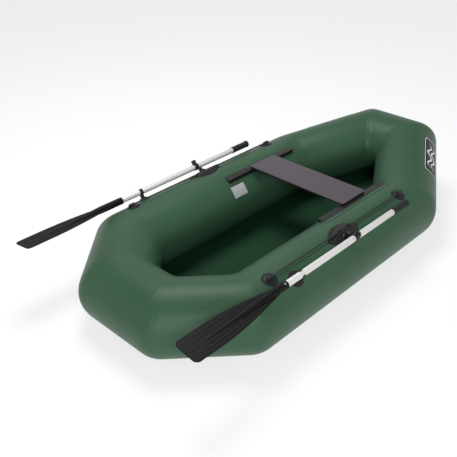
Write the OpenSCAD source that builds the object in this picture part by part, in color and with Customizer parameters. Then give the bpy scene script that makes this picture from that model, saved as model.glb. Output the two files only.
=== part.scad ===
// One-person inflatable rowing boat with a sliding seat and two stowed oars.
// +X points to the bow, +Y to port, +Z up; the origin is on the ground under the middle of the hull.

/* [Hull] */
// Outside diameter of the inflated tubes
tube_d = 320; // [318:1:322]
// Thickness of the coated tube fabric
skin = 0.9; // [0.7:0.1:1.2]
// Distance from the middle of the boat to a side tube's centreline
half_beam = 366; // [360:1:372]
// Forward end of the straight side tubes
bow_knee_x = 482; // [470:1:495]
// Centreline of the bow tube, fore and aft
bow_x = 908; // [890:1:925]
// Half the length of the bow tube's centreline
bow_half = 114; // [105:1:125]
// How far the bow tube is raised
bow_rise = 95; // [85:1:105]
// After end of the straight side tubes
stern_knee_x = -680; // [-690:1:-670]
// Centreline of the stern tube, fore and aft
stern_x = -920; // [-935:1:-905]
// Half the length of the stern tube's centreline
stern_half = 144; // [135:1:155]
// Thickness of the floor sheet
floor_t = 1.3; // [1:0.1:1.6]
// Width of the tape over each seam
tape_w = 36; // [24:1:40]

/* [Seat] */
// Middle of the seat board, fore and aft
seat_x = 146; // [100:1:200]
// Size of the seat board across the boat
seat_w = 574; // [568:1:578]
// Size of the seat board fore and aft
seat_l = 182; // [170:1:190]
// Thickness of the seat board
seat_t = 10; // [8:1:14]
// After end of the seat rails
rail_x = -110; // [-112:1:-100]
// Length of the seat rails
rail_l = 495; // [480:1:500]

/* [Oars and locks] */
// Oarlock position, fore and aft
lock_x = -136; // [-138:1:-130]
// Where an oarlock sits round its tube, from 0 outboard to 90 on top
lock_angle = 65; // [63:1:67]
// Diameter of the oar shaft
shaft_d = 28; // [27:0.5:28]
// From the oarlock aft to the tip of the blade
blade_reach = 986; // [960:1:1000]
// From the oarlock forward to the end of the grip
grip_reach = 406; // [396:1:410]
// Width of the blade
blade_w = 116; // [100:1:124]
// How far the port oar is slid aft in its clamp
port_slip = 20; // [0:1:24]

/* [Fittings] */
// Clip that holds the stowed oar, fore and aft
clip_x = -500; // [-510:1:-490]
// After eyelets of the grab lines
aft_eyelet_x = -604; // [-604:1:-598]
// Forward eyelets of the grab lines
fore_eyelet_x = 322; // [316:1:324]
// Height of the grab line's centre above its tube
line_h = 10.8; // [10.8:0.1:11.2]
// After valve
aft_valve_x = -550; // [-560:1:-520]
// Forward valve
fore_valve_x = 330; // [300:1:350]

/* [Hidden] */
$fn = 96;

hull_green = "#4f6a57";
patch_green = "#44604c";
plastic_black = "#2b2b2d";
seat_grey = "#5e575e";
metal = "#cdcdd0";

tube_r = tube_d / 2;
tape_t = 0.6;
axis_z = floor_t + 0.3 + tape_t + tube_r;
overrun = 115;

// Corners of the tubes' centreline, from the starboard side of the stern round by the bow.
CORNERS = [
    [stern_x, -stern_half, axis_z], [stern_knee_x, -half_beam, axis_z],
    [bow_knee_x, -half_beam, axis_z], [bow_x, -bow_half, axis_z + bow_rise],
    [bow_x, bow_half, axis_z + bow_rise], [bow_knee_x, half_beam, axis_z],
    [stern_knee_x, half_beam, axis_z], [stern_x, stern_half, axis_z],
];
STERN_CORNER_STARBOARD = 0;
SIDE_STARBOARD = 1;
BOW_CORNER_STARBOARD = 2;
BOW = 3;
BOW_CORNER_PORT = 4;
SIDE_PORT = 5;
STERN_CORNER_PORT = 6;
STERN = 7;
bow_slope = atan(bow_rise / (bow_x - bow_knee_x));
floor_crease_x = bow_knee_x + axis_z * tan(bow_slope / 2);
baffle_x = -60;

rail_y = half_beam - 96;
rail_top = axis_z + 151.5;
seat_bottom = rail_top + 3;
bracket_x = [seat_x - 60, seat_x + 60];

foot_shift = 16;
axle_n = 12.5;
axle_r = 3;
pin_t = 8;
pin_r = 3;
running_gap = 0.05;
clamp_t = 42;
clamp_n = 36;
bolt_n = 63;
line_r = 3.5;
line_angle = lock_angle + 8;
oar_r = norm([clamp_t, tube_r + clamp_n]);
oar_angle = lock_angle - atan(clamp_t / (tube_r + clamp_n));
oar_n = oar_r - tube_r;
shaft_r = shaft_d / 2;
shaft_wall = 1.2;
neck_x = -456;
button_x = neck_x - 15;
shaft_aft = neck_x - 118;
grip_x = grip_reach - 118;
blade_tilt = 15;

valve_angle = 180;
mouth_r = 11;
hinge_t = -31;
hinge_n = 5;

function unit(v) = v / norm(v);
function after(i) = (i + 1) % 8;
function before(i) = (i + 7) % 8;
function run(i) = unit(CORNERS[after(i)] - CORNERS[i]);
function mitre(i) = unit(run(before(i)) + run(i));
function flat_out(v) = unit([v.y, -v.x]);
function corner_out(i) = flat_out(run(before(i))) + flat_out(run(i));
function footprint(i, lap) = [CORNERS[i].x, CORNERS[i].y]
    + corner_out(i) * lap / (1 + flat_out(run(before(i))) * flat_out(run(i)));

// Turns +Z to point along v.
module aim(v) rotate([0, acos(v.z / norm(v)), atan2(v.y, v.x)]) children();

module both_sides() {
    children();
    mirror([0, 1, 0]) children();
}

module starboard() mirror([0, 1, 0]) children();

// Puts +Z along the outward normal of the port side tube and +Y towards its outboard side.
module on_tube(x, angle)
    translate([x, half_beam, axis_z]) rotate([angle - 90, 0, 0]) translate([0, 0, tube_r]) children();

module x_rod(r, l) rotate([0, 90, 0]) cylinder(r = r, h = l, center = true);

module y_rod(r, l) rotate([90, 0, 0]) cylinder(r = r, h = l, center = true);

// A flat shape wrapped on the port side tube as a layer from height low to height high.
module wrapped(x, angle, low, high)
    intersection() {
        translate([x, half_beam, axis_z]) difference() {
            x_rod(tube_r + high, 240);
            x_rod(tube_r + low, 242);
        }
        on_tube(x, angle) translate([0, 0, -60]) linear_extrude(100) children();
    }

// An almond: two arcs that meet at a point at each end.
module almond(half_l, half_w) {
    arc_r = (half_l * half_l + half_w * half_w) / (2 * half_w);
    intersection() {
        translate([0, arc_r - half_w]) circle(arc_r);
        translate([0, half_w - arc_r]) circle(arc_r);
    }
}

module rounded_plate(l, w, r) {
    square([l - 2 * r, w], center = true);
    square([l, w - 2 * r], center = true);
    for (x = [-1, 1], y = [-1, 1])
        translate([x * (l / 2 - r), y * (w / 2 - r)]) circle(r);
}

// Everything on the side of a plane that its normal n points to.
module half_space(p, n) translate(p) aim(n) translate([-400, -400, 0]) cube([800, 800, 800]);

// ---- Hull ----

module tube_panel(i) {
    length = norm(CORNERS[after(i)] - CORNERS[i]) + 2 * overrun;
    color(hull_green) difference() {
        translate(CORNERS[i] - run(i) * overrun) aim(run(i)) difference() {
            cylinder(r = tube_r, h = length);
            translate([0, 0, -1]) cylinder(r = tube_r - skin, h = length + 2);
        }
        half_space(CORNERS[i], -mitre(i));
        half_space(CORNERS[after(i)], mitre(after(i)));
    }
}

// Half of the tape over the mitre at corner i, on the panel before it or after it.
module tape_half(i, panel, sense) {
    reach = overrun + tape_w;
    butt_gap = 0.1;
    difference() {
        translate(CORNERS[i] - run(panel) * reach) aim(run(panel)) difference() {
            cylinder(r = tube_r + tape_t, h = 2 * reach);
            translate([0, 0, -1]) cylinder(r = tube_r + 0.05, h = 2 * reach + 2);
        }
        half_space(CORNERS[i] + sense * mitre(i) * butt_gap, -sense * mitre(i));
        half_space(CORNERS[i] + sense * mitre(i) * tape_w / 2, sense * mitre(i));
    }
}

module seam_tapes()
    color(patch_green) for (i = [0 : 7]) {
        tape_half(i, before(i), -1);
        tape_half(i, i, 1);
    }

module side_tube_starboard()
    difference() {
        tube_panel(SIDE_STARBOARD);
        for (x = [aft_valve_x, fore_valve_x])
            starboard() on_tube(x, valve_angle) cylinder(r = 19, h = 20, center = true);
    }

module chamber_baffles()
    color(patch_green) both_sides()
        translate([baffle_x, half_beam, axis_z]) x_rod(tube_r - skin, skin);

// Flat amidships and aft, and creased upwards under the raised bow.
module floor_sheet() {
    outline = [ for (i = [0 : 7]) footprint(i, 15) ];
    color(patch_green) {
        intersection() {
            linear_extrude(floor_t) polygon(outline);
            translate([floor_crease_x - 3000, -1000, -1]) cube([3000, 2000, 10]);
        }
        intersection() {
            translate([0, 0, -20]) linear_extrude(300) polygon(outline);
            translate([floor_crease_x, -1000, 0]) rotate([0, -bow_slope, 0]) cube([900, 2000, floor_t]);
        }
    }
}

// ---- Seat ----

module rail_bases()
    color(patch_green) both_sides() for (half = [0, 1])
        wrapped(rail_x + rail_l * (1 + 2 * half) / 4, 117.5, 0.3, 1.5)
            square([rail_l / 2 + 8, tube_r * 27 * PI / 180], center = true);

module seat_rail() {
    profile = [
        [rail_y, rail_top - 30], [rail_y, rail_top - 16], [rail_y + 4, rail_top - 16],
        [rail_y + 4, rail_top - 10], [rail_y, rail_top - 10], [rail_y, rail_top],
        [rail_y + 44, rail_top], [rail_y + 44, rail_top - 30],
    ];
    color(plastic_black) difference() {
        translate([rail_x, 0, 0]) rotate([90, 0, 90]) linear_extrude(rail_l) polygon(profile);
        translate([rail_x + rail_l / 2, half_beam, axis_z]) x_rod(tube_r + 1.8, rail_l + 40);
    }
}

module seat_board()
    color(seat_grey) difference() {
        translate([seat_x, 0, seat_bottom]) linear_extrude(seat_t) rounded_plate(seat_l, seat_w, 12);
        for (x = bracket_x, y = [-1, 1])
            translate([x, y * (rail_y + 8), seat_bottom - 1]) cylinder(r = 2, h = seat_t - 1);
    }

module seat_brackets()
    color(plastic_black) both_sides() difference() {
        translate([seat_x, 0, 0]) rotate([90, 0, 90]) linear_extrude(148, center = true) polygon([
            [rail_y - 4, seat_bottom], [rail_y + 15, seat_bottom], [rail_y + 15, rail_top + 0.3],
            [rail_y - 0.5, rail_top + 0.3], [rail_y - 0.5, rail_top - 11], [rail_y + 3, rail_top - 11],
            [rail_y + 3, rail_top - 15], [rail_y - 4, rail_top - 15],
        ]);
        for (x = bracket_x)
            translate([x, rail_y + 8, rail_top]) {
                cylinder(r = 2.05, h = 10);
                cylinder(r = 3, h = 1.8);
            }
    }

module seat_screws()
    color(metal) both_sides() for (x = bracket_x)
        translate([x, rail_y + 8, rail_top + 0.4]) {
            cylinder(r = 1.95, h = seat_bottom - rail_top + 7);
            cylinder(r = 2.9, h = 1.2);
        }

// ---- Oarlocks ----

module lock_frame() on_tube(lock_x, lock_angle) children();

module oarlock_pads()
    color(plastic_black) both_sides() wrapped(lock_x + 3, lock_angle + 4, 0.2, 3.2) almond(104, 52);

// Where the grab line passes the oarlock, in the lock's own frame.
line_t = -(tube_r + line_h) * sin(line_angle - lock_angle);
line_n = (tube_r + line_h) * cos(line_angle - lock_angle) - tube_r;

module oarlock_base()
    color(plastic_black) difference() {
        union() {
            wrapped(lock_x + foot_shift, lock_angle + 4, 3.4, 6.4) almond(84, 42);
            lock_frame() {
                for (side = [-1, 1]) {
                    translate([side * 13, 0, axle_n]) x_rod(6, 6);
                    translate([side * 13 - 3, -6, 4]) cube([6, 12, axle_n - 4]);
                }
                translate([foot_shift, line_t, line_n]) x_rod(line_r + 2.7, 140);
                translate([foot_shift - 70, line_t - line_r - 2.7, 3.2])
                    cube([140, 2 * line_r + 5.4, line_n - 3.2]);
            }
        }
        lock_frame() {
            translate([0, 0, axle_n]) x_rod(axle_r + running_gap, 60);
            translate([foot_shift, line_t, line_n]) x_rod(line_r + 0.8, 160);
            for (side = [-1, 1])
                translate([foot_shift + side * 30, line_t, line_n])
                    linear_extrude(10) rounded_plate(24, 7, 3.4);
        }
    }

module oarlock_axles()
    color(metal) both_sides() lock_frame() translate([0, 0, axle_n]) {
        x_rod(axle_r, 34);
        for (side = [-1, 1])
            translate([side * 17.4, 0, 0]) x_rod(4.6, 2);
    }

module oarlock_cradle()
    color(plastic_black) lock_frame() difference() {
        union() {
            translate([0, 0, axle_n]) x_rod(5.8, 18);
            translate([-9, 0, 11]) cube([18, 15, 7.8]);
        }
        translate([0, 0, axle_n]) x_rod(axle_r + running_gap, 20);
        translate([0, pin_t, 10]) cylinder(r = pin_r, h = 10);
    }

module swivel_pin()
    color(metal) lock_frame() translate([0, pin_t, 11.2]) {
        cylinder(r = pin_r, h = 20);
        translate([0, 0, 19.3]) cylinder(r = 5.5, h = 2.2);
    }

module oarlock_clamp()
    color(plastic_black) lock_frame() difference() {
        union() {
            translate([0, pin_t, 19.2]) cylinder(r = 9, h = 11);
            translate([-7, pin_t, 21]) cube([14, 24, 7.5]);
            translate([0, clamp_t, clamp_n]) x_rod(shaft_r + 3, 24);
            translate([-9, clamp_t - 6.5, clamp_n + 13]) cube([18, 13, bolt_n - clamp_n - 5]);
        }
        translate([0, pin_t, 10]) cylinder(r = pin_r + running_gap, h = 30);
        translate([0, clamp_t, clamp_n]) x_rod(shaft_r, 30);
        translate([-20, clamp_t - 1, clamp_n]) cube([40, 2, 60]);
        translate([0, clamp_t, bolt_n]) y_rod(2.6, 40);
    }

module clamp_bolt()
    color(metal) lock_frame() translate([0, clamp_t, bolt_n]) {
        translate([0, 3, 0]) y_rod(2.5, 32);
        translate([0, -9, 0]) y_rod(4.4, 3.4);
    }

module wing_nut()
    color(plastic_black) lock_frame() translate([0, clamp_t + 10.2, bolt_n]) difference() {
        union() {
            y_rod(5.5, 6);
            for (side = [-1, 1])
                translate([side * 6.5, 0, 0]) cube([7, 3, 5], center = true);
        }
        y_rod(2.5 + running_gap, 20);
    }

// ---- Oars: +X runs from the blade to the grip, and the origin is in the middle of the clamp ----

module oar_frame(slip) translate([-slip, 0, 0]) lock_frame() translate([0, clamp_t, clamp_n]) children();

module along_x(x, l, r1, r2) translate([x, 0, 0]) rotate([0, 90, 0]) cylinder(r1 = r1, r2 = r2, h = l);

module oar_shaft(slip)
    color(metal) oar_frame(slip) difference() {
        along_x(shaft_aft, grip_x + 60 - shaft_aft, shaft_r, shaft_r);
        along_x(shaft_aft - 1, grip_x + 62 - shaft_aft, shaft_r - shaft_wall, shaft_r - shaft_wall);
        translate([button_x, 0, 5]) cylinder(r = 4.1, h = 20);
    }

module oar_grip(slip)
    color(plastic_black) oar_frame(slip) difference() {
        union() {
            along_x(grip_x, grip_reach - grip_x, shaft_r + 2.2, shaft_r + 2.2);
            along_x(grip_x, 6, shaft_r + 3.2, shaft_r + 3.2);
            along_x(grip_reach - 7, 7, shaft_r + 3.6, shaft_r + 3.6);
        }
        along_x(grip_x - 1, 61, shaft_r + 0.05, shaft_r + 0.05);
    }

module oar_blade(slip) {
    half_w = blade_w / 2;
    color(plastic_black) oar_frame(slip) difference() {
        union() {
            rotate([blade_tilt, 0, 0]) {
                linear_extrude(4, center = true) hull() for (side = [-1, 1]) {
                    translate([22 - blade_reach, side * (half_w - 22)]) circle(22, $fn = 32);
                    translate([neck_x - 258, side * (half_w - 12)]) circle(12, $fn = 32);
                    translate([neck_x - 78, side * 11]) circle(5, $fn = 32);
                }
                for (rib = [-1.5, -0.75, 0.75, 1.5])
                    translate([neck_x - 388, rib * half_w / 2, 0]) cube([220, 2.4, 6.4], center = true);
            }
            along_x(neck_x - 418, 280, 4, shaft_r + 2.5);
            along_x(neck_x - 138, 138, shaft_r + 2.5, shaft_r + 2.5);
        }
        along_x(shaft_aft - 2, neck_x - shaft_aft + 3, shaft_r + 0.05, shaft_r + 0.05);
        translate([button_x, 0, 5]) cylinder(r = 4.1, h = 30);
    }
}

module snap_button(slip)
    color(metal) oar_frame(slip) translate([button_x, 0, 0]) {
        translate([0, 0, 7.6]) cylinder(r = 5.4, h = 1.4);
        translate([0, 0, 7.6]) cylinder(r = 4.05, h = shaft_r + 4.5 - 7.6);
    }

// A leaf bent to a V: one arm lies on the bottom of the shaft, the other carries the button.
module button_spring(slip)
    color(metal) oar_frame(slip) translate([button_x, 0, 0]) rotate([90, 0, 0])
        linear_extrude(6, center = true) polygon([
            [6, 7.5], [-6, 7.5], [-62, -12], [6, -12], [6, -11.4], [-58, -11.4], [-5.8, 6.9], [6, 6.9],
        ]);

// ---- Eyelets, grab lines and clips ----

module eyelet_pads()
    color(plastic_black) both_sides() for (x = [aft_eyelet_x, fore_eyelet_x])
        wrapped(x, line_angle, 0.2, 2.2) circle(32);

module eyelets()
    color(plastic_black) both_sides() for (x = [aft_eyelet_x, fore_eyelet_x])
        difference() {
            union() {
                wrapped(x, line_angle, 2.4, 4.4) circle(24);
                on_tube(x, line_angle) {
                    translate([-11, -7.5, 3]) cube([22, 15, line_h - 3]);
                    translate([0, 0, line_h]) x_rod(7.5, 22);
                }
            }
            on_tube(x, line_angle) translate([0, 0, line_h]) x_rod(line_r + 0.8, 60);
        }

// The grab line: a taut rope from a stopper knot behind the after eyelet to one ahead of the forward one.
LINE_ROUTE = [ for (x = [-620 : 24 : 340]) [x, 416, 325.6] ];
knot_r = 6;

function ring(p, r, sides) = [
    for (k = [0 : sides - 1]) p + r * [0, cos(360 * k / sides), sin(360 * k / sides)]
];

module rope(route, r, sides) {
    last = len(route) - 1;
    points = [ for (p = route) each ring(p, r, sides) ];
    walls = [ for (i = [0 : last - 1], k = [0 : sides - 1])
        let (a = i * sides, b = a + sides, next = (k + 1) % sides)
        [a + k, b + k, b + next, a + next] ];
    start = [ for (k = [0 : sides - 1]) k ];
    end = [ for (k = [sides - 1 : -1 : 0]) last * sides + k ];
    polyhedron(points, concat(walls, [start, end]));
}

module grab_line()
    color("#3b4a40") {
        rope(LINE_ROUTE, line_r, 8);
        for (p = [LINE_ROUTE[0], LINE_ROUTE[len(LINE_ROUTE) - 1]])
            translate(p) sphere(knot_r, $fn = 24);
    }

module clip_bases()
    color(plastic_black) both_sides() {
        wrapped(clip_x, oar_angle, 0.2, 2.2) circle(35);
        wrapped(clip_x, oar_angle, 2.2, 10) rounded_plate(34, 26, 6);
    }

module clip_jaws()
    color(plastic_black) on_tube(clip_x, oar_angle) difference() {
        union() {
            translate([-8, -6, 10]) cube([16, 12, oar_n - shaft_r - 11]);
            translate([0, 0, oar_n]) x_rod(shaft_r + 3.4, 16);
        }
        translate([0, 0, oar_n]) x_rod(shaft_r + 0.1, 20);
        translate([-10, -11, oar_n + 5]) cube([20, 22, 30]);
    }

// ---- Valves ----

module valve_frame(x) starboard() on_tube(x, valve_angle) rotate(180) children();

module valve_body(x)
    color(plastic_black) valve_frame(x) difference() {
        union() {
            rotate_extrude() polygon([
                [15, -30], [18, -30], [18, 0.3], [27, 0.3], [27, 2.3], [14.5, 2.3],
                [14.5, 12], [mouth_r, 12], [mouth_r, 0.5], [8, 0.5], [8, -3], [15, -3],
            ]);
            difference() {
                translate([0, 0, -28]) cylinder(r = 15.5, h = 2);
                for (turn = [0 : 90 : 270])
                    rotate(turn) translate([9, 0, -29]) cylinder(r = 4, h = 4);
                translate([0, 0, -29]) cylinder(r = 2.05, h = 4);
            }
            for (side = [-1, 1])
                translate([side * 7 - 1.5, hinge_t - 3, 0.3]) {
                    cube([3, 10, 2]);
                    cube([3, 6, hinge_n - 0.3]);
                    translate([1.5, 3, hinge_n - 0.3]) x_rod(3, 3);
                }
        }
        translate([0, hinge_t, hinge_n]) x_rod(1.55, 30);
    }

module valve_poppet(x)
    color("#d9d9d4") valve_frame(x) {
        translate([0, 0, -6.2]) cylinder(r = 11.5, h = 3);
        translate([0, 0, -36]) cylinder(r = 2, h = 36);
    }

module valve_spring(x)
    color(metal) valve_frame(x) {
        turns = 5;
        steps = 14 * turns;
        low = -25.4;
        rise = 18.4;
        coil = [ for (i = [0 : steps])
            [4.6 * cos(i * 360 / 14), 4.6 * sin(i * 360 / 14), low + rise * i / steps] ];
        points = [ for (i = [0 : steps], k = [0 : 5])
            let (a = i * 360 / 14, b = k * 60)
            coil[i] + 0.5 * [cos(a) * cos(b), sin(a) * cos(b), sin(b)] ];
        walls = [ for (i = [0 : steps - 1], k = [0 : 5])
            [i * 6 + k, i * 6 + (k + 1) % 6, (i + 1) * 6 + (k + 1) % 6, (i + 1) * 6 + k] ];
        start = [ for (k = [5 : -1 : 0]) k ];
        end = [ for (k = [0 : 5]) steps * 6 + k ];
        polyhedron(points, concat(walls, [start, end]));
    }

module valve_cap(x)
    color(plastic_black) valve_frame(x) {
        difference() {
            translate([0, 0, 4]) cylinder(r = 19, h = 11);
            translate([0, 0, 3]) cylinder(r = 16, h = 9.4);
        }
        difference() {
            union() {
                translate([-4, hinge_t, 10]) cube([8, 14, 4]);
                translate([-4, hinge_t - 2.4, hinge_n]) cube([8, 4.8, 9]);
                translate([0, hinge_t, hinge_n]) x_rod(2.4, 8);
            }
            translate([0, 0, 3]) cylinder(r = 16, h = 9.4);
        }
        translate([0, hinge_t, hinge_n]) x_rod(1.5, 17);
    }

// ---- Marks ----

module data_plate()
    color("#9fa1a0") wrapped(-75, 144, 0.2, 0.8) rounded_plate(90, 60, 4);

// Puts +X along panel i and +Z outwards from its tube, at an angle up from its outboard side.
module on_starboard_panel(i, x, angle) {
    d = run(i);
    translate(CORNERS[i]) rotate([0, -asin(d.z), atan2(d.y, d.x)])
        translate([x, 0, 0]) rotate([90 - angle, 0, 0]) children();
}

module bow_badges()
    color(plastic_black) both_sides() intersection() {
        on_starboard_panel(BOW_CORNER_STARBOARD, 298, 41) rotate([0, 90, 0]) difference() {
            cylinder(r = tube_r + 0.8, h = 300, center = true);
            cylinder(r = tube_r + 0.2, h = 302, center = true);
        }
        on_starboard_panel(BOW_CORNER_STARBOARD, 298, 41) translate([0, 0, 100])
            linear_extrude(80) rounded_plate(290, 112, 10);
    }

tube_panel(SIDE_PORT);  // side_tube_port
side_tube_starboard();
tube_panel(BOW);  // bow_tube
tube_panel(STERN);  // stern_tube
tube_panel(BOW_CORNER_PORT);  // bow_corner_tube_port
tube_panel(BOW_CORNER_STARBOARD);  // bow_corner_tube_starboard
tube_panel(STERN_CORNER_PORT);  // stern_corner_tube_port
tube_panel(STERN_CORNER_STARBOARD);  // stern_corner_tube_starboard
seam_tapes();
chamber_baffles();
floor_sheet();
rail_bases();
seat_rail();  // seat_rail_port
starboard() seat_rail();  // seat_rail_starboard
data_plate();
bow_badges();
oarlock_pads();
oarlock_base();  // oarlock_base_port
starboard() oarlock_base();  // oarlock_base_starboard
oarlock_axles();
eyelet_pads();
eyelets();
grab_line();  // grab_line_port
starboard() grab_line();  // grab_line_starboard
clip_bases();
clip_jaws();  // clip_jaws_port
starboard() clip_jaws();  // clip_jaws_starboard
valve_body(fore_valve_x);  // valve_body_fore
valve_body(aft_valve_x);  // valve_body_aft
valve_poppet(fore_valve_x);  // valve_poppet_fore
valve_poppet(aft_valve_x);  // valve_poppet_aft
valve_spring(fore_valve_x);  // valve_spring_fore
valve_spring(aft_valve_x);  // valve_spring_aft
valve_cap(fore_valve_x);  // valve_cap_fore
valve_cap(aft_valve_x);  // valve_cap_aft
seat_board();
seat_brackets();
seat_screws();
oarlock_cradle();  // oarlock_cradle_port
starboard() oarlock_cradle();  // oarlock_cradle_starboard
swivel_pin();  // swivel_pin_port
starboard() swivel_pin();  // swivel_pin_starboard
oarlock_clamp();  // oarlock_clamp_port
starboard() oarlock_clamp();  // oarlock_clamp_starboard
clamp_bolt();  // clamp_bolt_port
starboard() clamp_bolt();  // clamp_bolt_starboard
wing_nut();  // wing_nut_port
starboard() wing_nut();  // wing_nut_starboard
oar_shaft(port_slip);  // oar_shaft_port
starboard() oar_shaft(0);  // oar_shaft_starboard
oar_grip(port_slip);  // oar_grip_port
starboard() oar_grip(0);  // oar_grip_starboard
oar_blade(port_slip);  // oar_blade_port
starboard() oar_blade(0);  // oar_blade_starboard
snap_button(port_slip);  // snap_button_port
starboard() snap_button(0);  // snap_button_starboard
button_spring(port_slip);  // button_spring_port
starboard() button_spring(0);  // button_spring_starboard
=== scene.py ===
import math

import bmesh
import bpy
from mathutils import Matrix, Vector


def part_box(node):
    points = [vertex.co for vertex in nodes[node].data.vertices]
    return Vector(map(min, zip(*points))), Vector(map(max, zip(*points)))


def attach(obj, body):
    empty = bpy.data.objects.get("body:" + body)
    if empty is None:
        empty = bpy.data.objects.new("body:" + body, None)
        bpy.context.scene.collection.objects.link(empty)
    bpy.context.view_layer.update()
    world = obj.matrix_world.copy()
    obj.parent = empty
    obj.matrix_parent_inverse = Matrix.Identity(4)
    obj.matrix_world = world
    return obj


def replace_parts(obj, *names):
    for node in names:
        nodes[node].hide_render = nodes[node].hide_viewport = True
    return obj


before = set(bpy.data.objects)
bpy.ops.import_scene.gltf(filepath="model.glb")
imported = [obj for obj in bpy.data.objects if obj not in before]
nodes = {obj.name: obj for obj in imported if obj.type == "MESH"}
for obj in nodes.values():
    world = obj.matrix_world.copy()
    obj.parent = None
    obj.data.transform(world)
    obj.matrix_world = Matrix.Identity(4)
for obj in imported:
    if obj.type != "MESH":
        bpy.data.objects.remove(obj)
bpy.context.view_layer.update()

# ---- Studio ----
# A pale paper sweep under three soft boxes, seen from above the starboard side of the stern.
# The sweep turns up far behind the boat, and the camera stands a little under two metres up.

CAMERA_AT = Vector((-2.2153, -1.7501, 1.8442))
CAMERA_TURN, CAMERA_DIP, CAMERA_ROLL = 0.7677, 0.5553, 0.0082
LENS = 52.56
SENSOR = 36.0


def aimed(turn, dip, roll):
    """The rotation of a camera that looks along the floor at an angle turn from +X, tipped down by dip."""
    ahead = Vector((math.cos(dip) * math.cos(turn), math.cos(dip) * math.sin(turn), -math.sin(dip)))
    right = Vector((math.sin(turn), -math.cos(turn), 0.0))
    level = Matrix((right, right.cross(ahead), -ahead)).transposed()
    return level @ Matrix.Rotation(roll, 3, "Z")


camera = bpy.data.objects.new("camera", bpy.data.cameras.new("camera"))
bpy.context.scene.collection.objects.link(camera)
camera.matrix_world = Matrix.Translation(CAMERA_AT) @ aimed(CAMERA_TURN, CAMERA_DIP, -CAMERA_ROLL).to_4x4()
camera.data.lens = LENS
camera.data.sensor_width = SENSOR
bpy.context.scene.camera = camera


class Wire:
    """An output of a shader node. Arithmetic on it adds Math nodes."""

    def __init__(self, paint, socket):
        self.paint = paint
        self.socket = socket

    def math(self, operation, first, second=0.0):
        return self.paint.node("ShaderNodeMath", {"operation": operation}, {0: first, 1: second})

    def __add__(self, other):
        return self.math("ADD", self, other)

    def __mul__(self, other):
        return self.math("MULTIPLY", self, other)

    __radd__ = __add__
    __rmul__ = __mul__


class Paint:
    """A finish under way: a material, its main shader, and what feeds it."""

    def __init__(self, name, color, roughness, **constants):
        self.material = bpy.data.materials.new(name)
        self.material.use_nodes = True
        self.tree = self.material.node_tree
        self.shader = self.tree.nodes["Principled BSDF"]
        self.set("Base Color", (*color, 1.0))
        self.set("Roughness", roughness)
        for socket, value in constants.items():
            self.set(socket.replace("_", " "), value)

    def set(self, socket, value):
        self.feed(self.shader.inputs[socket], value)

    def feed(self, socket, value):
        if isinstance(value, Wire):
            self.tree.links.new(value.socket, socket)
        else:
            socket.default_value = value

    def node(self, kind, settings, sockets, output=0):
        made = self.tree.nodes.new(kind)
        for name, value in settings.items():
            setattr(made, name, value)
        for name, value in sockets.items():
            self.feed(made.inputs[name], value)
        return Wire(self, made.outputs[output])

    def place(self, stretch=(1.0, 1.0, 1.0)):
        """A point's own place on the object, stretched along each axis."""
        spot = self.node("ShaderNodeTexCoord", {}, {}, "Object")
        return self.node("ShaderNodeMapping", {}, {"Vector": spot, "Scale": stretch})

    def noise(self, scale, detail=3.0, stretch=(1.0, 1.0, 1.0)):
        sockets = {"Vector": self.place(stretch), "Scale": scale, "Detail": detail}
        return self.node("ShaderNodeTexNoise", {}, sockets)

    def step(self, value, low, high):
        """0 below low, 1 above high, and smooth between them."""
        settings = {"interpolation_type": "SMOOTHSTEP"}
        return self.node("ShaderNodeMapRange", settings, {"Value": value, "From Min": low, "From Max": high})

    def blend(self, amount, first, second):
        sockets = {0: amount, 6: first, 7: second}
        return self.node("ShaderNodeMix", {"data_type": "RGBA"}, sockets, 2)

    def bumped(self, height, distance, strength=1.0):
        sockets = {"Height": height, "Distance": distance, "Strength": strength}
        self.set("Normal", self.node("ShaderNodeBump", {}, sockets))


def soft_box(name, place, toward, size, power):
    lamp = bpy.data.objects.new(name, bpy.data.lights.new(name, "AREA"))
    lamp.data.shape = "DISK"
    lamp.data.size = size
    lamp.data.energy = power
    lamp.location = place
    lamp.rotation_euler = (Vector(toward) - Vector(place)).to_track_quat("-Z", "Y").to_euler()
    bpy.context.scene.collection.objects.link(lamp)


def piece(name, bm, paint, body, smooth=True):
    """Turns a bmesh into an object that wears paint and rides on a body."""
    bmesh.ops.recalc_face_normals(bm, faces=bm.faces)
    mesh = bpy.data.meshes.new(name)
    bm.to_mesh(mesh)
    bm.free()
    for face in mesh.polygons:
        face.use_smooth = smooth
    made = bpy.data.objects.new(name, mesh)
    bpy.context.scene.collection.objects.link(made)
    mesh.materials.append(paint.material)
    if body:
        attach(made, body)
    return made


soft_box("top", (0.0, 0.9, 3.4), (0.0, 0.0, 0.0), 1.8, 82.0)
soft_box("key", (-2.9, -3.2, 2.7), (-0.5, -0.2, 0.2), 1.3, 72.0)
soft_box("low", (-3.4, -2.6, 0.9), (-0.8, -0.3, 0.2), 0.7, 26.0)
sky = bpy.data.worlds.new("sky")
sky.use_nodes = True
glow = sky.node_tree.nodes["Background"].inputs
glow["Color"].default_value = (1.0, 1.0, 1.0, 1.0)
glow["Strength"].default_value = 0.28
bpy.context.scene.world = sky
bpy.context.scene.view_settings.view_transform = "Standard"

SWEEP_REACH, SWEEP_FLAT, SWEEP_RISE = 30.0, 9.0, 0.03
sweep_paint = Paint("studio floor", (0.30, 0.30, 0.30), 0.9,
                    Emission_Color=(1.0, 1.0, 1.0, 1.0), Emission_Strength=0.68)
floor_shape = bmesh.new()
bmesh.ops.create_grid(floor_shape, x_segments=80, y_segments=80, size=SWEEP_REACH)
for v in floor_shape.verts:
    v.co.z = SWEEP_RISE * max(0.0, v.co.length - SWEEP_FLAT) ** 2
piece("studio_floor", floor_shape, sweep_paint, None)

# ---- Grab lines ----
# A braided cord along each side, threaded through two eyelets and the feet of the oarlock,
# pulled taut and stopped by a knot behind the last eyelet at each end.

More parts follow.
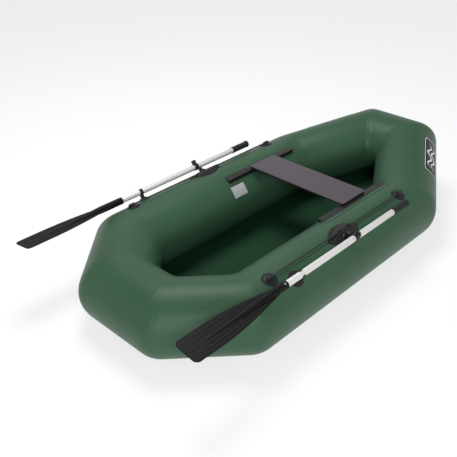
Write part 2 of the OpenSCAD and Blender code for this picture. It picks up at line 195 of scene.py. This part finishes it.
LINE_Y, LINE_Z = 0.416, 0.3256
LINE_R = 0.0035
LINE_AFT, LINE_FORE, LINE_STEP = -0.620, 0.340, 0.024
BRAID_TWIST, BRAID_DEPTH = 700.0, 0.07
KNOT_REACH, KNOT_SWAY, KNOT_R = 0.0042, 0.0016, 0.0027
SIDES = {"port": 1.0, "starboard": -1.0}


def sleeve(around, along, lay):
    """A tube of quads: lay(angle, share) says where each point goes, with share from 0 to 1 along it."""
    bm = bmesh.new()
    bmesh.ops.create_cone(bm, cap_ends=False, segments=around, radius1=1.0, radius2=1.0, depth=1.0)
    rungs = [e for e in bm.edges if abs(e.verts[0].co.z - e.verts[1].co.z) > 0.5]
    bmesh.ops.subdivide_edges(bm, edges=rungs, cuts=along - 1, use_grid_fill=True)
    for v in bm.verts:
        v.co = lay(math.atan2(v.co.y, v.co.x), v.co.z + 0.5)
    return bm


rope_paint = Paint("braided cord", (0.012, 0.014, 0.013), 0.75)
rope_paint.bumped(rope_paint.noise(900.0, 2.0, (0.3, 1.0, 1.0)), 0.0004)

for side, out in SIDES.items():
    start = Vector((LINE_AFT, out * LINE_Y, LINE_Z))
    length = LINE_FORE - LINE_AFT

    def braided(angle, share, start=start, length=length):
        x = share * length
        strands = math.cos(4 * angle + x * BRAID_TWIST) * math.cos(4 * angle - x * BRAID_TWIST)
        r = LINE_R * (1 - BRAID_DEPTH + BRAID_DEPTH * strands)
        return start + Vector((x, r * math.cos(angle), r * math.sin(angle)))

    rope = sleeve(16, 640, braided)
    bmesh.ops.holes_fill(rope, edges=rope.edges, sides=16)
    line = piece("grab_line_" + side + "_cord", rope, rope_paint, "hull")
    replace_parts(line, "grab_line_" + side)
    for end, x in (("aft", LINE_AFT), ("fore", LINE_FORE)):

        def knotted(angle, share, x=x, out=out):
            turn = 2 * math.pi * share
            reach = KNOT_REACH + KNOT_SWAY * math.cos(3 * turn)
            across, up = reach * math.cos(2 * turn), reach * math.sin(2 * turn)
            loop = Vector((KNOT_SWAY * math.sin(3 * turn), across, up))
            skin = loop.normalized() * math.cos(angle) + Vector((math.sin(angle), 0, 0))
            return Vector((x, out * LINE_Y, LINE_Z)) + loop + KNOT_R * skin

        tied = sleeve(12, 120, knotted)
        bmesh.ops.remove_doubles(tied, verts=tied.verts, dist=1e-5)
        knot = piece(f"grab_line_{side}_{end}_knot", tied, rope_paint, "hull")

# ---- Hull tubes ----
# Eight lengths of PVC coated fabric tube welded end to end on mitred seams, pumped up hard.
# Air pressure rounds the bends off, and the cloth puckers a little on the inside of each.

TUBE_R = 0.160
AXIS_Z = 0.1622
HALF_BEAM = 0.366
STERN_KNEE_X, BOW_KNEE_X = -0.680, 0.482
STERN_X, STERN_HALF = -0.920, 0.144
BOW_X, BOW_HALF, BOW_RISE = 0.908, 0.114, 0.095
CORNERS = [Vector(c) for c in (
    (STERN_X, -STERN_HALF, AXIS_Z), (STERN_KNEE_X, -HALF_BEAM, AXIS_Z),
    (BOW_KNEE_X, -HALF_BEAM, AXIS_Z), (BOW_X, -BOW_HALF, AXIS_Z + BOW_RISE),
    (BOW_X, BOW_HALF, AXIS_Z + BOW_RISE), (BOW_KNEE_X, HALF_BEAM, AXIS_Z),
    (STERN_KNEE_X, HALF_BEAM, AXIS_Z), (STERN_X, STERN_HALF, AXIS_Z))]
PANELS = ("stern_corner_tube_starboard", "side_tube_starboard", "bow_corner_tube_starboard", "bow_tube",
          "bow_corner_tube_port", "side_tube_port", "stern_corner_tube_port", "stern_tube")
UP = Vector((0, 0, 1))
SEAM_PULL, PULL_REACH = 0.0005, 0.012
PUCKER, PUCKER_REACH, PUCKERS = 0.0004, 0.030, 31
BEND_OUTSIDE, BEND_INSIDE, BOW_BEND_INSIDE = 0.045, 0.030, 0.020


def run(i):
    return (CORNERS[(i + 1) % 8] - CORNERS[i % 8]).normalized()


def mitre(i):
    return (run(i - 1) + run(i)).normalized()


def girth(i):
    """Two directions across tube i: outboard, and up from there."""
    out = run(i).cross(UP).normalized()
    return out, out.cross(run(i))


def on_seam(i, corner, ray):
    """How far along tube i the seam lies from the corner, on the line of the wall that ray points to."""
    return -ray.dot(mitre(corner)) / run(i).dot(mitre(corner))


def wall(i, angle, share, lift=0.0):
    """A point of tube i's cloth: angle from outboard over the top, share of the way to its next seam."""
    out, up = girth(i)
    ray = out * math.cos(angle) + up * math.sin(angle)
    a, b = CORNERS[i % 8], CORNERS[(i + 1) % 8]
    first = on_seam(i, i, ray * TUBE_R)
    last = (b - a).length + on_seam(i, i + 1, ray * TUBE_R)
    along = first + (last - first) * share
    near = min(along - first, last - along)
    inboard = 0.5 - 0.5 * math.cos(angle)
    pull = SEAM_PULL * math.exp(-near / PULL_REACH)
    folds = math.sin(PUCKERS * angle + 2.0 * i)
    pucker = PUCKER * (0.2 + 0.8 * inboard) * math.exp(-near / PUCKER_REACH) * folds
    place = a + run(i) * along + ray * (TUBE_R - pull + pucker + lift)
    for corner, gap in ((i, along - first), (i + 1, last - along)):
        bend = run(corner) - run(corner - 1)
        inside = 0.5 + 0.5 * ray.dot(bend.normalized())
        tightest = BOW_BEND_INSIDE if corner in (3, 4) else BEND_INSIDE
        ease = BEND_OUTSIDE + (tightest - BEND_OUTSIDE) * inside
        if gap < ease:
            place += bend * ease * ((1 - gap / ease) / 2) ** 2
    return place


def eased(share, ease=0.7):
    """Crowds the rings of a tube towards its seams."""
    return share - ease * math.sin(2 * math.pi * share) / (2 * math.pi)


cloth_paint = Paint("coated cloth", (0.032, 0.083, 0.046), 0.40, Specular_IOR_Level=0.20)
tone = cloth_paint.step(cloth_paint.noise(3.5, 4.0), 0.3, 0.7)
cloth_paint.set("Base Color", cloth_paint.blend(tone, (0.030, 0.079, 0.043, 1), (0.034, 0.087, 0.048, 1)))
cloth_paint.set("Roughness", 0.38 + 0.08 * cloth_paint.noise(60.0))
grain = cloth_paint.noise(1500.0, 2.0) + 0.6 * cloth_paint.noise(420.0, 2.0)
cloth_paint.bumped(grain + 3.0 * cloth_paint.noise(9.0, 2.0), 0.00035, 0.5)

for i, name in enumerate(PANELS):
    tube = sleeve(144, 96, lambda angle, share: wall(i, angle, eased(share)))
    skin = piece(name + "_cloth", tube, cloth_paint, "hull")
    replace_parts(skin, name)

# ---- Seam tapes ----
# A narrow strip of the same cloth is glued over each mitre to seal it.
# It follows both tubes round the bend, and its two thin edges show as lines.

TAPE_HALF = 0.018
TAPE_T = 0.0003
TAPE_ROWS = ((1.04, 0.0), (1.0, 1.0), (0.5, 1.0), (0.0, 1.0))


def taped(corner, angle, share):
    """The tape round a corner: half of its width lies on the tube before the corner and half on the next."""
    row = min(round(share * 6), 6)
    reach, height = TAPE_ROWS[row if row < 4 else 6 - row]
    i = corner - 1 if row <= 3 else corner
    out, up = girth(i)
    ray = out * math.cos(angle) + up * math.sin(angle)
    slant = run(i).dot(mitre(corner))
    along = reach * TAPE_HALF / slant * (-1 if row <= 3 else 1)
    full = (CORNERS[(i + 1) % 8] - CORNERS[i % 8]).length
    first = on_seam(i, i, ray * TUBE_R)
    last = full + on_seam(i, i + 1, ray * TUBE_R)
    laid = (last + along) if row <= 3 else (first + along)
    return wall(i, angle, (laid - first) / (last - first), TAPE_T * height)


for corner in range(8):
    strip = sleeve(144, 6, lambda angle, share: taped(corner, angle, share))
    tape = piece(f"seam_tape_{corner}", strip, cloth_paint, "hull")
    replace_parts(tape, "seam_tapes")

# ---- Floor ----
# One sheet of the same cloth, glued under the tubes all round and creased up under the raised bow.
# Between the tubes it lies slack and a little wavy on the ground. Its colour is painted darker than the
# tubes' cloth, as painted shade.

FLOOR_T = 0.0013
FLOOR_LAP = 0.015
SLACK = 0.004
SLACK_HALF_L, SLACK_HALF_W = 0.80, 0.24
BOW_SLOPE = math.atan2(BOW_RISE, BOW_X - BOW_KNEE_X)
CREASE_X = BOW_KNEE_X + AXIS_Z * math.tan(BOW_SLOPE / 2)

floor = bmesh.new()
bmesh.ops.create_grid(floor, x_segments=150, y_segments=80, size=1.0)
for v in floor.verts:
    v.co = Vector((1.1 * v.co.x, 0.45 * v.co.y, 0.0))
for i in range(8):
    edge_out = Vector((run(i).y, -run(i).x, 0)).normalized()
    edge = CORNERS[i] + edge_out * FLOOR_LAP
    whole = list(floor.verts) + list(floor.edges) + list(floor.faces)
    bmesh.ops.bisect_plane(floor, geom=whole, plane_co=(edge.x, edge.y, 0), plane_no=edge_out,
                           clear_outer=True)
for v in floor.verts:
    slack = max(0.0, 1 - (v.co.x / SLACK_HALF_L) ** 4) * max(0.0, 1 - (v.co.y / SLACK_HALF_W) ** 4)
    swell = 1.0 + 0.5 * math.sin(9.0 * v.co.x + 3.0 * v.co.y) + 0.35 * math.sin(23.0 * v.co.y - 7.0 * v.co.x)
    v.co.z = FLOOR_T + SLACK * slack * swell + max(0.0, v.co.x - CREASE_X) * math.tan(BOW_SLOPE)
# Painted shade: this cloth's base colour is much darker than the tubes' cloth, standing in for the shade
# deep in the cockpit; the noise only varies its tone at random.
shaded_floor_paint = Paint("floor cloth with painted shade", (0.010, 0.043, 0.020), 0.55, Specular_IOR_Level=0.15)
floor_tone = shaded_floor_paint.step(shaded_floor_paint.noise(5.0, 4.0), 0.3, 0.7)
shaded_floor_paint.set("Base Color", shaded_floor_paint.blend(floor_tone, (0.009, 0.040, 0.018, 1), (0.012, 0.047, 0.022, 1)))
shaded_floor_paint.set("Roughness", 0.50 + 0.08 * shaded_floor_paint.noise(60.0))
shaded_floor_paint.bumped(shaded_floor_paint.noise(1300.0, 2.0), 0.0003, 0.5)
floor_cloth = piece("floor_cloth", floor, shaded_floor_paint, "hull")
thick = floor_cloth.modifiers.new("thickness", "SOLIDIFY")
thick.thickness = FLOOR_T
thick.offset = -1.0
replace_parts(floor_cloth, "floor_sheet")

# ---- Seat rails ----
# A black extruded rail with a hooked inner edge lies along the top of each side tube.
# It stands on two glued strips of cloth, which are wider than it, so that a thin edge of them shows.

RAIL_X, RAIL_LENGTH = -0.110, 0.495
STRIP_ANGLE = math.radians(117.5)
STRIP_HALF = 0.0377
STRIP_T = 0.0014


def wrapped(bm, x, angle, out):
    """Bends a flat shape round a side tube: +Y goes outboard and down, and +Z stands off the cloth."""
    for v in bm.verts:
        reach = TUBE_R + v.co.z
        around = angle - v.co.y / TUBE_R
        beam = HALF_BEAM + reach * math.cos(around)
        v.co = Vector((x + v.co.x, out * beam, AXIS_Z + reach * math.sin(around)))
    return bm


def patch(half_l, half_w, height, outline, edge=0.004, rows=(48, 24)):
    """A flat patch with a rounded edge: outline(u) is the share of its width at u, from -1 to 1 along it."""
    bm = bmesh.new()
    bmesh.ops.create_grid(bm, x_segments=rows[0], y_segments=rows[1], size=1.0)
    for v in bm.verts:
        u, side = math.sin(v.co.x * math.pi / 2), math.sin(v.co.y * math.pi / 2)
        width = half_w * outline(u)
        rim = min(1.0, min(width * (1 - abs(side)), half_l * (1 - abs(u))) / edge)
        v.co = Vector((half_l * u, width * side, height * math.sqrt(max(0.0, 1 - (1 - rim) ** 2))))
    bmesh.ops.remove_doubles(bm, verts=bm.verts, dist=1e-6)
    return bm


def backed(made, thickness):
    """Gives a patch its thickness, inwards."""
    back = made.modifiers.new("thickness", "SOLIDIFY")
    back.thickness = thickness
    back.offset = -1.0
    return made


def sharpened(made, angle=35.0):
    made.data.set_sharp_from_angle(angle=math.radians(angle))
    return made


def moulded(node, paint, body, edge, extra=None):
    """A CAD piece with its edges rounded as a mould or a file leaves them."""
    bm = bmesh.new()
    bm.from_mesh(nodes[node].data)
    bmesh.ops.remove_doubles(bm, verts=bm.verts, dist=2e-6)
    bmesh.ops.dissolve_limit(bm, angle_limit=math.radians(0.5), verts=bm.verts, edges=bm.edges)
    creases = [e for e in bm.edges if len(e.link_faces) == 2 and e.calc_face_angle(0.0) > math.radians(35)]
    bmesh.ops.bevel(bm, geom=creases, offset=edge, offset_type="OFFSET", segments=2, profile=0.5,
                    affect="EDGES", clamp_overlap=True, material=-1)
    if extra:
        grown = bpy.data.meshes.new("extra")
        extra.to_mesh(grown)
        extra.free()
        bm.from_mesh(grown)
        bpy.data.meshes.remove(grown)
    made = sharpened(piece(node + "_shown", bm, paint, body))
    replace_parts(made, node)
    return made


plastic_paint = Paint("moulded plastic", (0.012, 0.012, 0.013), 0.45, Specular_IOR_Level=0.30)
plastic_paint.set("Roughness", 0.34 + 0.16 * plastic_paint.noise(80.0))
plastic_paint.bumped(plastic_paint.noise(2200.0, 1.0), 0.00012, 0.5)

for side, out in SIDES.items():
    moulded("seat_rail_" + side, plastic_paint, "hull", 0.0010)
    for half in (0, 1):
        strip = patch(RAIL_LENGTH / 4 + 0.004, STRIP_HALF, STRIP_T, lambda u: 1.0, 0.002, (60, 24))
        middle = RAIL_X + RAIL_LENGTH * (1 + 2 * half) / 4
        laid = wrapped(strip, middle, STRIP_ANGLE, out)
        glued = piece(f"rail_strip_{side}_{half}", laid, cloth_paint, "hull")
        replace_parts(backed(glued, 0.0011), "rail_bases")

# ---- Seat ----
# A board of film-faced plywood with sawn and sealed edges, screwed down on a folded bracket at each end.
# The brackets hook under the rails' inner lips, so that the board slides along the boat.

BOARD_LOW, BOARD_HIGH = (Vector(c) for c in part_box("seat_board"))
BOARD_CORNER, BOARD_EDGE = 0.012, 0.0012

board_paint = Paint("faced board", (0.069, 0.058, 0.069), 0.5, Specular_IOR_Level=0.3)
height = board_paint.node("ShaderNodeSeparateXYZ", {}, {0: board_paint.place()}, 2)
fleck = board_paint.blend(board_paint.noise(700.0, 3.0), (0.064, 0.054, 0.065, 1), (0.075, 0.063, 0.074, 1))
face = board_paint.step(height, BOARD_HIGH.z - 0.0022, BOARD_HIGH.z - 0.0008)
board_paint.set("Base Color", board_paint.blend(face, (0.012, 0.011, 0.012, 1), fleck))
board_paint.set("Roughness", 0.46 + 0.12 * board_paint.noise(40.0))
board_paint.bumped(board_paint.noise(1400.0, 2.0), 0.00015, 0.5)

board = bmesh.new()
bmesh.ops.create_cube(board, size=1.0)
bmesh.ops.scale(board, vec=BOARD_HIGH - BOARD_LOW, verts=board.verts)
bmesh.ops.translate(board, vec=(BOARD_HIGH + BOARD_LOW) / 2, verts=board.verts)
uprights = [e for e in board.edges if abs(e.verts[0].co.z - e.verts[1].co.z) > 0.001]
bmesh.ops.bevel(board, geom=uprights, offset=BOARD_CORNER, offset_type="OFFSET", segments=10, profile=0.5,
                affect="EDGES", clamp_overlap=True, material=-1)
rims = [e for e in board.edges if e.calc_face_angle(0.0) > math.radians(60)]
bmesh.ops.bevel(board, geom=rims, offset=BOARD_EDGE, offset_type="OFFSET", segments=3, profile=0.5,
                affect="EDGES", clamp_overlap=True, material=-1)
seat = sharpened(piece("seat_board_faced", board, board_paint, "seat"), 50.0)
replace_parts(seat, "seat_board")

steel_paint = Paint("brushed steel", (0.60, 0.60, 0.60), 0.3, Metallic=1.0)
steel_paint.set("Roughness", 0.24 + 0.14 * steel_paint.noise(300.0, 2.0, (0.1, 1.0, 1.0)))
moulded("seat_brackets", plastic_paint, "seat", 0.0005)
moulded("seat_screws", steel_paint, "seat", 0.0003)

# ---- Oarlocks ----
# A black rubber pad glued on the tube carries a moulded foot, with a domed housing for the grab line.
# Two lugs hold an axle, and a cradle tips on the axle.
# A clamp with a bolt and a wing nut swivels on the cradle, and holds the oar.

LOCK_X = -0.136
LOCK_ANGLE = math.radians(65.0)
LINE_ANGLE = math.radians(73.0)
FOOT_ANGLE = math.radians(69.0)
PAD_SHIFT, FOOT_SHIFT = 0.003, 0.016
PAD_HALF_L, PAD_HALF_W, PAD_T = 0.104, 0.052, 0.0031
HOUSING_HALF_L, HOUSING_HALF_W, HOUSING_H = 0.080, 0.0185, 0.0152
SLOT_AT, SLOT_HALF_L, SLOT_HALF_W, SLOT_DEEP = 0.030, 0.014, 0.0060, 0.0090

rubber_paint = Paint("black rubber", (0.013, 0.014, 0.014), 0.6, Specular_IOR_Level=0.22)
rubber_paint.set("Roughness", 0.52 + 0.16 * rubber_paint.noise(90.0))
rubber_paint.bumped(rubber_paint.noise(1200.0, 2.0), 0.0002, 0.6)


dull_paint = Paint("blackened steel", (0.10, 0.10, 0.10), 0.5, Metallic=0.6)
dull_paint.set("Roughness", 0.42 + 0.14 * dull_paint.noise(300.0))
dull_paint.bumped(dull_paint.noise(800.0, 2.0), 0.00005, 0.4)


def almond(u):
    return 1 - u * u


def round_end(u):
    return math.sqrt(max(0.0, 1 - u * u))


def housing():
    """The domed housing over the grab line, with two oval slots sunk in its back."""
    bm = bmesh.new()
    bmesh.ops.create_grid(bm, x_segments=200, y_segments=48, size=1.0)
    for v in bm.verts:
        u, across = v.co.x, v.co.y
        x, y = HOUSING_HALF_L * u, HOUSING_HALF_W * across * (1 - 0.35 * u * u)
        height = HOUSING_H * math.sqrt(max(0.0, 1 - across ** 4)) * max(0.0, 1 - abs(u) ** 5) ** 0.7
        for middle in (-SLOT_AT, SLOT_AT):
            span = ((x - middle) / SLOT_HALF_L) ** 2 + (y / SLOT_HALF_W) ** 2
            height -= SLOT_DEEP * (1 - min(1.0, max(0.0, (span - 0.7) / 0.6)))
        v.co = Vector((x, y, max(height, 0.0005)))
    return bm


for side, out in SIDES.items():
    cut = patch(PAD_HALF_L, PAD_HALF_W, PAD_T, almond, 0.003, (96, 32))
    laid = wrapped(cut, LOCK_X + PAD_SHIFT, FOOT_ANGLE, out)
    pad = piece(f"oarlock_pad_{side}", laid, rubber_paint, "hull")
    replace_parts(backed(pad, 0.0025), "oarlock_pads")
    dome = wrapped(housing(), LOCK_X + FOOT_SHIFT, LINE_ANGLE, out)
    bmesh.ops.recalc_face_normals(dome, faces=dome.faces)
    moulded("oarlock_base_" + side, plastic_paint, "hull", 0.0007, dome)
    moulded("oarlock_cradle_" + side, plastic_paint, "cradle_" + side, 0.0006)
    moulded("swivel_pin_" + side, dull_paint, "cradle_" + side, 0.0004)
    moulded("oarlock_clamp_" + side, plastic_paint, "oar_" + side, 0.0008)
    moulded("clamp_bolt_" + side, dull_paint, "oar_" + side, 0.0004)
    moulded("wing_nut_" + side, plastic_paint, "nut_" + side, 0.0006)
moulded("oarlock_axles", steel_paint, "hull", 0.0004)

# ---- Oars ----
# An anodised aluminium tube with a ribbed rubber grip on one end and a moulded blade on the other.
# The blade's neck slides over the tube and is held by a sprung steel button that snaps through both.

SHAFT_R = 0.014
CLAMP_T, CLAMP_N = 0.042, 0.036
SLIPS = {"port": 0.020, "starboard": 0.0}
GRIP_START, GRIP_END = 0.288, 0.406
NECK_END, NECK_FLARE, TIP = -0.456, -0.504, -0.986
NECK_R = 0.0165
BLADE_HALF, BLADE_T, TIP_CORNER = 0.058, 0.0020, 0.022
BLADE_TILT = math.radians(15.0)
SPINE_FADE, SPINE_FULL = -0.924, -0.574
RIB_AFT, RIB_FORE, RIB_H = -0.930, -0.640, 0.0010

shaft_paint = Paint("anodised tube", (0.64, 0.64, 0.63), 0.42, Metallic=0.2)
shaft_paint.set("Roughness", 0.38 + 0.10 * shaft_paint.noise(400.0, 2.0, (0.05, 1.0, 1.0)))
shaft_paint.bumped(shaft_paint.noise(900.0, 2.0, (0.03, 1.0, 1.0)), 0.00004, 0.4)


blade_paint = Paint("blade plastic", (0.0045, 0.0045, 0.005), 0.50, Specular_IOR_Level=0.12)
blade_paint.set("Roughness", 0.46 + 0.10 * blade_paint.noise(70.0))
blade_paint.bumped(blade_paint.noise(900.0, 2.0), 0.00015, 0.5)


def on_oar(bm, side, out):
    """Moves a shape drawn along X, with the clamp at the origin and +Z off the tube, to an oar's place."""
    lift = Matrix.Translation((LOCK_X - SLIPS[side], HALF_BEAM, AXIS_Z))
    turn = Matrix.Rotation(LOCK_ANGLE - math.pi / 2, 4, "X")
    stand = Matrix.Translation((0, CLAMP_T, TUBE_R + CLAMP_N))
    bmesh.ops.transform(bm, matrix=lift @ turn @ stand, verts=bm.verts)
    bmesh.ops.scale(bm, vec=(1, out, 1), verts=bm.verts)
    return bm


def grip_skin(angle, share):
    """The grip: a flared ring at each end, shallow grooves between them, and a rounded end."""
    x = GRIP_START + (GRIP_END - GRIP_START) * min(1.0, share / 0.92)
    r = SHAFT_R + 0.0018 + 0.0006 * math.cos(2 * math.pi * (x - GRIP_START) / 0.0085)
    r += 0.0014 * math.exp(-((x - GRIP_START - 0.004) / 0.004) ** 2)
    r += 0.0018 * math.exp(-((x - GRIP_END + 0.006) / 0.005) ** 2)
    if share < 0.01:
        r = SHAFT_R
    if share > 0.92:
        r *= math.sqrt(max(0.0, 1 - ((share - 0.92) / 0.08) ** 2))
    return Vector((x, r * math.cos(angle), r * math.sin(angle)))


def blade_half_width(x):
    if x < TIP + TIP_CORNER:
        into = TIP + TIP_CORNER - x
        return BLADE_HALF - TIP_CORNER + math.sqrt(max(0.0, TIP_CORNER ** 2 - into ** 2))
    widen = min(1.0, max(0.0, (NECK_FLARE - x) / 0.36))
    return NECK_R + (BLADE_HALF - NECK_R) * math.sin(widen * math.pi / 2)


def bump(value, middle, half):
    return max(0.0, 1 - ((value - middle) / half) ** 2)


def blade_skin(angle, share):
    """The blade: a thin web with a rim, a tapering spine that grows into the round neck, and ribs."""
    x = TIP + (NECK_END - TIP) * min(1.0, share / 0.985)
    half = blade_half_width(x)
    y = half * math.cos(angle)
    taper = min(1.0, max(0.0, (x - SPINE_FADE) / (SPINE_FULL - SPINE_FADE)))
    spine_half, spine_high = 0.005 + (NECK_R - 0.005) * taper, (NECK_R - BLADE_T) * taper ** 1.3
    thick = BLADE_T + spine_high * math.sqrt(bump(y, 0.0, spine_half))
    web = min(1.0, max(0.0, (NECK_FLARE - 0.09 - x) / 0.05))
    thick += 0.0010 * web * bump(abs(y), half - 0.0035, 0.0035)
    ribbed = min(1.0, max(0.0, (RIB_FORE - x) / 0.03)) * min(1.0, max(0.0, (x - RIB_AFT) / 0.01))
    for share_out in (0.34, 0.62):
        thick += RIB_H * ribbed * bump(abs(math.cos(angle)), share_out, 0.035)
    for middle in (-0.952, -0.928):
        hollow = ((x - middle) / 0.010) ** 2 + ((abs(y) - 0.012) / 0.004) ** 2
        thick -= 0.0009 * max(0.0, 1 - hollow)
    thick *= max(0.0, 1 - abs(math.cos(angle)) ** (8 if half > NECK_R + 0.002 else 2)) ** 0.5
    if half <= NECK_R + 0.002:
        thick = max(thick, NECK_R * abs(math.sin(angle)))
    thick *= min(1.0, (x - TIP) / 0.003) ** 0.5
    z = math.copysign(thick, math.sin(angle))
    if share > 0.985:
        close = 1 - (1 - SHAFT_R / NECK_R) * (share - 0.985) / 0.015
        y, z = y * close, z * close
    slope, level = math.sin(BLADE_TILT), math.cos(BLADE_TILT)
    return Vector((x, y * level - z * slope, y * slope + z * level))


for side, out in SIDES.items():
    moulded("oar_shaft_" + side, shaft_paint, "oar_" + side, 0.0003)
    grip = on_oar(sleeve(48, 130, grip_skin), side, out)
    bmesh.ops.remove_doubles(grip, verts=grip.verts, dist=1e-6)
    held = piece("oar_grip_" + side + "_ribbed", grip, rubber_paint, "oar_" + side)
    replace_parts(held, "oar_grip_" + side)
    web = on_oar(sleeve(192, 320, blade_skin), side, out)
    bmesh.ops.remove_doubles(web, verts=web.verts, dist=1e-6)
    shown = sharpened(piece("oar_blade_" + side + "_moulded", web, blade_paint, "oar_" + side), 40.0)
    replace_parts(shown, "oar_blade_" + side)
    moulded("snap_button_" + side, steel_paint, "button_" + side, 0.0008)
    moulded("button_spring_" + side, steel_paint, "oar_" + side, 0.0001)

# ---- Eyelets and clips ----
# Each grab line's eyelet is a moulded bridge on a disc, glued on a round rubber pad.
# The oar clip is a sprung plastic hook on its own round foot, just ahead of the after eyelet.

EYELET_PAD_R, EYELET_PAD_T = 0.032, 0.0021
EYELETS = {"aft": -0.604, "fore": 0.322}

for side, out in SIDES.items():
    for end, x in EYELETS.items():
        disc = patch(EYELET_PAD_R, EYELET_PAD_R, EYELET_PAD_T, round_end, 0.0025, (40, 40))
        pad = piece(f"eyelet_pad_{side}_{end}", wrapped(disc, x, LINE_ANGLE, out), rubber_paint, "hull")
        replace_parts(backed(pad, 0.0016), "eyelet_pads")
    moulded("clip_jaws_" + side, plastic_paint, "hull", 0.0006)
moulded("eyelets", plastic_paint, "hull", 0.0008)
moulded("clip_bases", rubber_paint, "hull", 0.0008)

# ---- Valves and baffles ----
# Each air chamber has a moulded valve in the tube's inner face, with a sprung poppet under a hinged cap.
# Inside each side tube a round baffle of the hull's cloth parts the two chambers.

poppet_paint = Paint("valve core", (0.62, 0.62, 0.59), 0.3)
poppet_paint.set("Roughness", 0.26 + 0.12 * poppet_paint.noise(200.0))
for end in ("fore", "aft"):
    moulded("valve_body_" + end, plastic_paint, "hull", 0.0004)
    moulded("valve_poppet_" + end, poppet_paint, "poppet_" + end, 0.0003)
    moulded("valve_cap_" + end, plastic_paint, "cap_" + end, 0.0006)
for node, paint in (("valve_spring_fore", steel_paint), ("valve_spring_aft", steel_paint),
                    ("chamber_baffles", cloth_paint)):
    nodes[node].data.materials.clear()
    nodes[node].data.materials.append(paint.material)

# ---- Data plate ----
# A pale printed film label, stuck on the inner face of the port tube under the rail.
# Its print is only rows of fine grey dashes.

LABEL_X, LABEL_ANGLE = -0.075, math.radians(144.0)
LABEL_HALF_L, LABEL_HALF_W, LABEL_T = 0.045, 0.030, 0.0007

label_paint = Paint("printed film", (0.36, 0.37, 0.36), 0.45)
dashes = label_paint.step(label_paint.noise(420.0, 1.0, (1.0, 2.4, 2.4)), 0.50, 0.60)
label_paint.set("Base Color", label_paint.blend(dashes, (0.47, 0.48, 0.47, 1), (0.13, 0.14, 0.13, 1)))
label_paint.set("Roughness", 0.40 + 0.1 * label_paint.noise(50.0))
film = patch(LABEL_HALF_L, LABEL_HALF_W, LABEL_T, lambda u: 1.0, 0.001)
label = piece("data_plate_film", wrapped(film, LABEL_X, LABEL_ANGLE, 1.0), label_paint, "hull")
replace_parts(backed(label, 0.0004), "data_plate")

# ---- Bow badges ----
# A black printed patch on each bow corner tube, with a thin white border and two plain white waves.
# It is cut from the same coated cloth and glued on.

BADGE_AT, BADGE_ANGLE = 0.298, math.radians(41.0)
BADGE_HALF_L, BADGE_HALF_W = 0.142, 0.052
BADGE_T, PRINT_H = 0.0008, 0.0010
BORDER_IN, BORDER_W = 0.004, 0.0035
WAVE_HALF_L, WAVE_HALF_W, WAVE_RISE, WAVE_GAP = 0.105, 0.006, 0.013, 0.014

badge_paint = Paint("black printed cloth", (0.010, 0.010, 0.011), 0.45, Specular_IOR_Level=0.22)
badge_paint.set("Roughness", 0.40 + 0.1 * badge_paint.noise(60.0))
badge_paint.bumped(badge_paint.noise(1500.0, 2.0), 0.0002, 0.5)
print_paint = Paint("white print", (0.72, 0.72, 0.72), 0.5)
print_paint.set("Roughness", 0.44 + 0.1 * print_paint.noise(60.0))


def on_bow(bm, side):
    """Lays a flat shape on a bow corner tube: +X goes forward along it and +Y up round it."""
    i = 2 if side == "starboard" else 4
    length = (CORNERS[i + 1] - CORNERS[i]).length
    for v in bm.verts:
        angle = BADGE_ANGLE + v.co.y / TUBE_R
        out, up = girth(i)
        ray = (out * math.cos(angle) + up * math.sin(angle)) * TUBE_R
        along = BADGE_AT + v.co.x if i == 2 else length - BADGE_AT - v.co.x
        first, last = on_seam(i, i, ray), length + on_seam(i, i + 1, ray)
        v.co = wall(i, angle, (along - first) / (last - first), v.co.z)
    return bm


def square_end(u):
    return 1.0 - 0.10 * u ** 12


def border():
    """A thin frame that follows the badge's edge."""
    bm = bmesh.new()
    bmesh.ops.create_grid(bm, x_segments=240, y_segments=1, size=1.0)
    for v in bm.verts:
        a = math.pi * v.co.x
        inset = BORDER_IN + BORDER_W * (0.5 - 0.5 * v.co.y)
        across, up = math.cos(a), math.sin(a)
        reach = (abs(across) ** 14 + abs(up) ** 14) ** (-1 / 14)
        x, y = (BADGE_HALF_L - inset) * across * reach, (BADGE_HALF_W - inset) * up * reach
        v.co = Vector((x, y, PRINT_H))
    bmesh.ops.remove_doubles(bm, verts=bm.verts, dist=1e-6)
    return bm


def wave(offset):
    """A band that swings up and down and comes to a point at each end."""
    bm = bmesh.new()
    bmesh.ops.create_grid(bm, x_segments=120, y_segments=4, size=1.0)
    for v in bm.verts:
        u = v.co.x
        y = offset + WAVE_RISE * math.sin(2.2 * math.pi * u) + WAVE_HALF_W * v.co.y * (1 - abs(u) ** 3)
        v.co = Vector((WAVE_HALF_L * u, y, PRINT_H))
    bmesh.ops.remove_doubles(bm, verts=bm.verts, dist=1e-6)
    return bm


for side in SIDES:
    cut = patch(BADGE_HALF_L, BADGE_HALF_W, BADGE_T, square_end, 0.001, (120, 40))
    badge = piece(f"bow_badge_{side}", on_bow(cut, side), badge_paint, "hull")
    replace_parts(badge, "bow_badges")
    backed(badge, 0.0004)
    for name, shape in (("border", border()), ("wave_high", wave(WAVE_GAP)), ("wave_low", wave(-WAVE_GAP))):
        mark = piece(f"bow_badge_{side}_{name}", on_bow(shape, side), print_paint, "hull")
        backed(mark, 0.0003)
